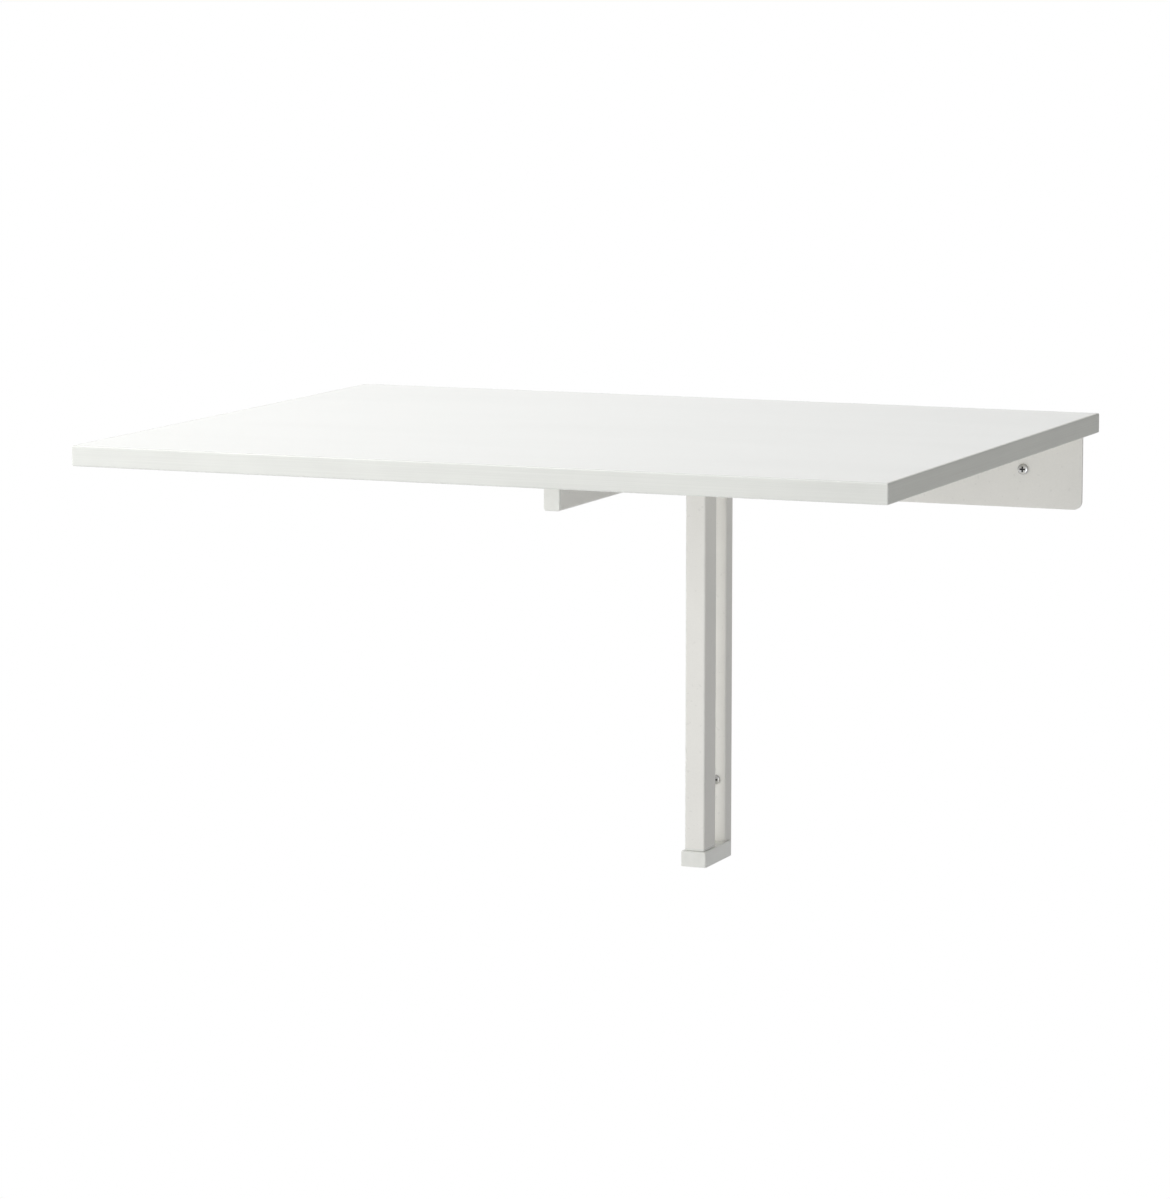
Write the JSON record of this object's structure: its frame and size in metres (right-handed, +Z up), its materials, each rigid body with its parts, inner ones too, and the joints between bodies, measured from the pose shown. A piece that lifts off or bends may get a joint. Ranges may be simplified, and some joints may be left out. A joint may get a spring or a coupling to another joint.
{
  "type": "wall mounted drop leaf table",
  "caption": "White rectangular table leaf hinged to a wall rail, held level by the arm of a swinging gate that turns on a slim wall post with a plastic foot bearing.",
  "frame": {"origin": "on the wall plane, midway between the rail's two wall screws", "axes": "+X along the wall to the right, +Y into the wall, +Z up"},
  "size_m": [0.74, 0.647, 0.4379],
  "materials": {
    "foil_board": "white foil on particle board, fine grain",
    "edge_band": "white plastic edging, satin",
    "powder_coat": "white powder coat, fine texture",
    "white_plastic": "white moulded plastic, satin",
    "bearing_plastic": "natural bearing plastic",
    "zinc_steel": "bright zinc plate"
  },
  "bodies": {
    "wall_frame": {"wall_rail": "powder_coat", "wall_post": "powder_coat", "rail_wall_screws": "zinc_steel", "post_wall_screw": "zinc_steel", "foot_bearing": "white_plastic", "foot_bush": "bearing_plastic", "thrust_washer_ring": "bearing_plastic", "shelf_bush": "bearing_plastic", "left_hinge_shelf_leaf": "zinc_steel", "right_hinge_shelf_leaf": "zinc_steel", "left_hinge_pin": "zinc_steel", "right_hinge_pin": "zinc_steel", "hinge_rivets": "zinc_steel"},
    "leaf": {"table_board": "foil_board", "front_edge_band": "edge_band", "rear_edge_band": "edge_band", "left_edge_band": "edge_band", "right_edge_band": "edge_band", "left_hinge_board_leaf": "zinc_steel", "right_hinge_board_leaf": "zinc_steel", "hinge_screws": "zinc_steel", "arm_rest": "bearing_plastic", "arm_rest_screws": "zinc_steel"},
    "gate": {"gate_upright": "powder_coat", "upper_pivot_plug": "white_plastic", "lower_pivot_plug": "white_plastic", "upper_pivot_pin": "zinc_steel", "lower_pivot_pin": "zinc_steel", "support_arm": "powder_coat", "arm_end_cap": "white_plastic", "arm_glide": "bearing_plastic"}
  },
  "joints": [
    {"name": "arm_swing", "type": "hinge", "parent": "wall_frame", "child": "gate", "pos_m": [0, -0.0567, 0], "axis": [0, 0, -1], "range_deg": [0, 90]},
    {"name": "leaf_fold", "type": "hinge", "parent": "wall_frame", "child": "leaf", "pos_m": [0, -0.074, 0.0332], "axis": [-1, 0, 0], "range_deg": [0, 2]}
  ]
}
